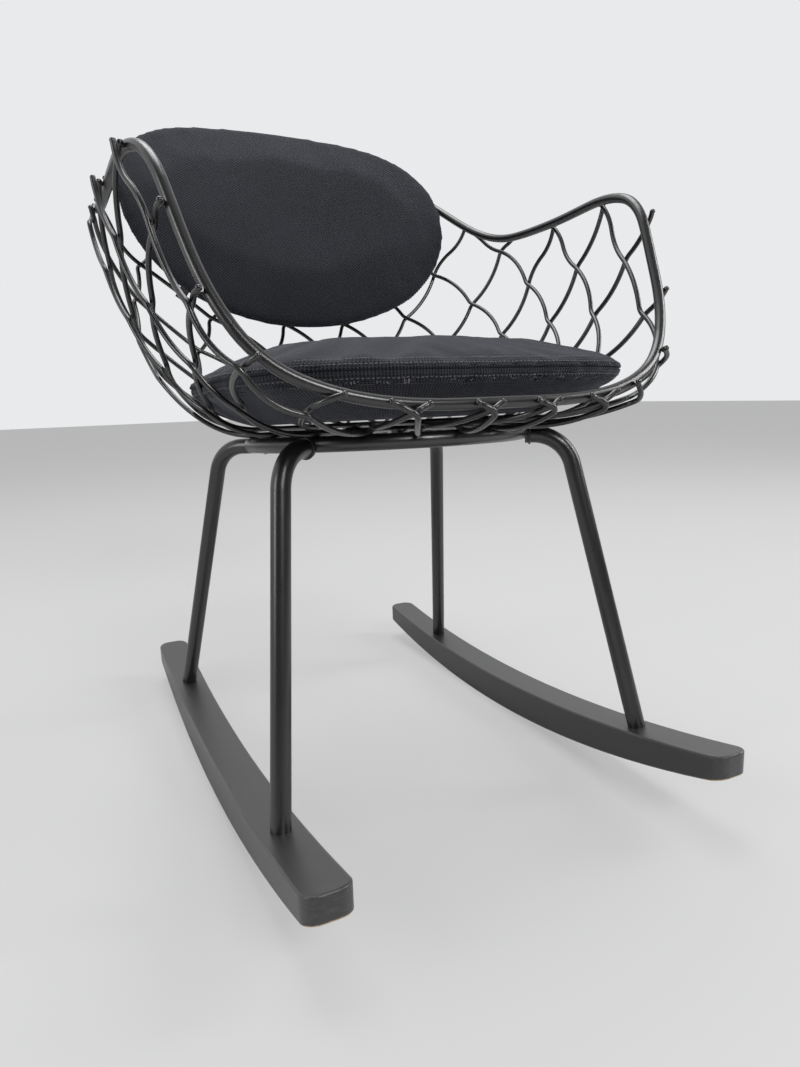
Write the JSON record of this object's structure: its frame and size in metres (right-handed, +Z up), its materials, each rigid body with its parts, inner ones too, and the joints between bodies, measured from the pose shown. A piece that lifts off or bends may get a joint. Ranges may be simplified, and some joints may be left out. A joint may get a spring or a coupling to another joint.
{
  "type": "rocking chair",
  "caption": "Rocking armchair with a round wire basket, loose round seat cushion and oval back cushion, on bent tube legs and curved wooden rockers.",
  "frame": {"origin": "on the floor, midway between the two rockers; Y 0 lies near the middle of the rockers' length", "axes": "+Z up, the sitter faces -Y, +X is the sitter's left"},
  "size_m": [0.5493, 0.7362, 0.7997],
  "materials": {
    "rim_steel": "satin black powder coat",
    "wire_steel": "satin black powder coat",
    "tube_steel": "satin black powder coat",
    "plug_steel": "plain steel",
    "bolt_steel": "dark zinc",
    "stained_wood": "black stain, matte, faint grain",
    "seat_fabric": "black ribbed knit",
    "back_fabric": "black twill weave",
    "tie_fabric": "black webbing",
    "foam": "open cell foam"
  },
  "bodies": {
    "basket_frame": {"back_cover": "back_fabric", "back_cushion_ties": "tie_fabric", "back_foam": "foam", "hub_ring": "wire_steel", "inner_wire_01": "wire_steel", "inner_wire_02": "wire_steel", "inner_wire_03": "wire_steel", "inner_wire_04": "wire_steel", "inner_wire_05": "wire_steel", "inner_wire_06": "wire_steel", "inner_wire_07": "wire_steel", "inner_wire_08": "wire_steel", "inner_wire_09": "wire_steel", "inner_wire_10": "wire_steel", "inner_wire_11": "wire_steel", "inner_wire_12": "wire_steel", "inner_wire_13": "wire_steel", "inner_wire_14": "wire_steel", "inner_wire_15": "wire_steel", "inner_wire_16": "wire_steel", "inner_wire_17": "wire_steel", "inner_wire_18": "wire_steel", "inner_wire_19": "wire_steel", "leg_front_left": "tube_steel", "leg_front_right": "tube_steel", "leg_plugs": "plug_steel", "leg_rear_left": "tube_steel", "leg_rear_right": "tube_steel", "leg_ring": "tube_steel", "leg_weld_beads": "tube_steel", "outer_wire_01": "wire_steel", "outer_wire_02": "wire_steel", "outer_wire_03": "wire_steel", "outer_wire_04": "wire_steel", "outer_wire_05": "wire_steel", "outer_wire_06": "wire_steel", "outer_wire_07": "wire_steel", "outer_wire_08": "wire_steel", "outer_wire_09": "wire_steel", "outer_wire_10": "wire_steel", "outer_wire_11": "wire_steel", "outer_wire_12": "wire_steel", "outer_wire_13": "wire_steel", "outer_wire_14": "wire_steel", "outer_wire_15": "wire_steel", "outer_wire_16": "wire_steel", "outer_wire_17": "wire_steel", "outer_wire_18": "wire_steel", "outer_wire_19": "wire_steel", "rim": "rim_steel", "rocker_bolts": "bolt_steel", "rocker_left": "stained_wood", "rocker_right": "stained_wood"},
    "seat_cushion": {"seat_cover": "seat_fabric", "seat_foam": "foam"}
  },
  "joints": [
    {"name": "seat_cushion_lift", "type": "slide", "parent": "basket_frame", "child": "seat_cushion", "axis": [0, 0, 1], "range_m": [0, 0.15]}
  ]
}
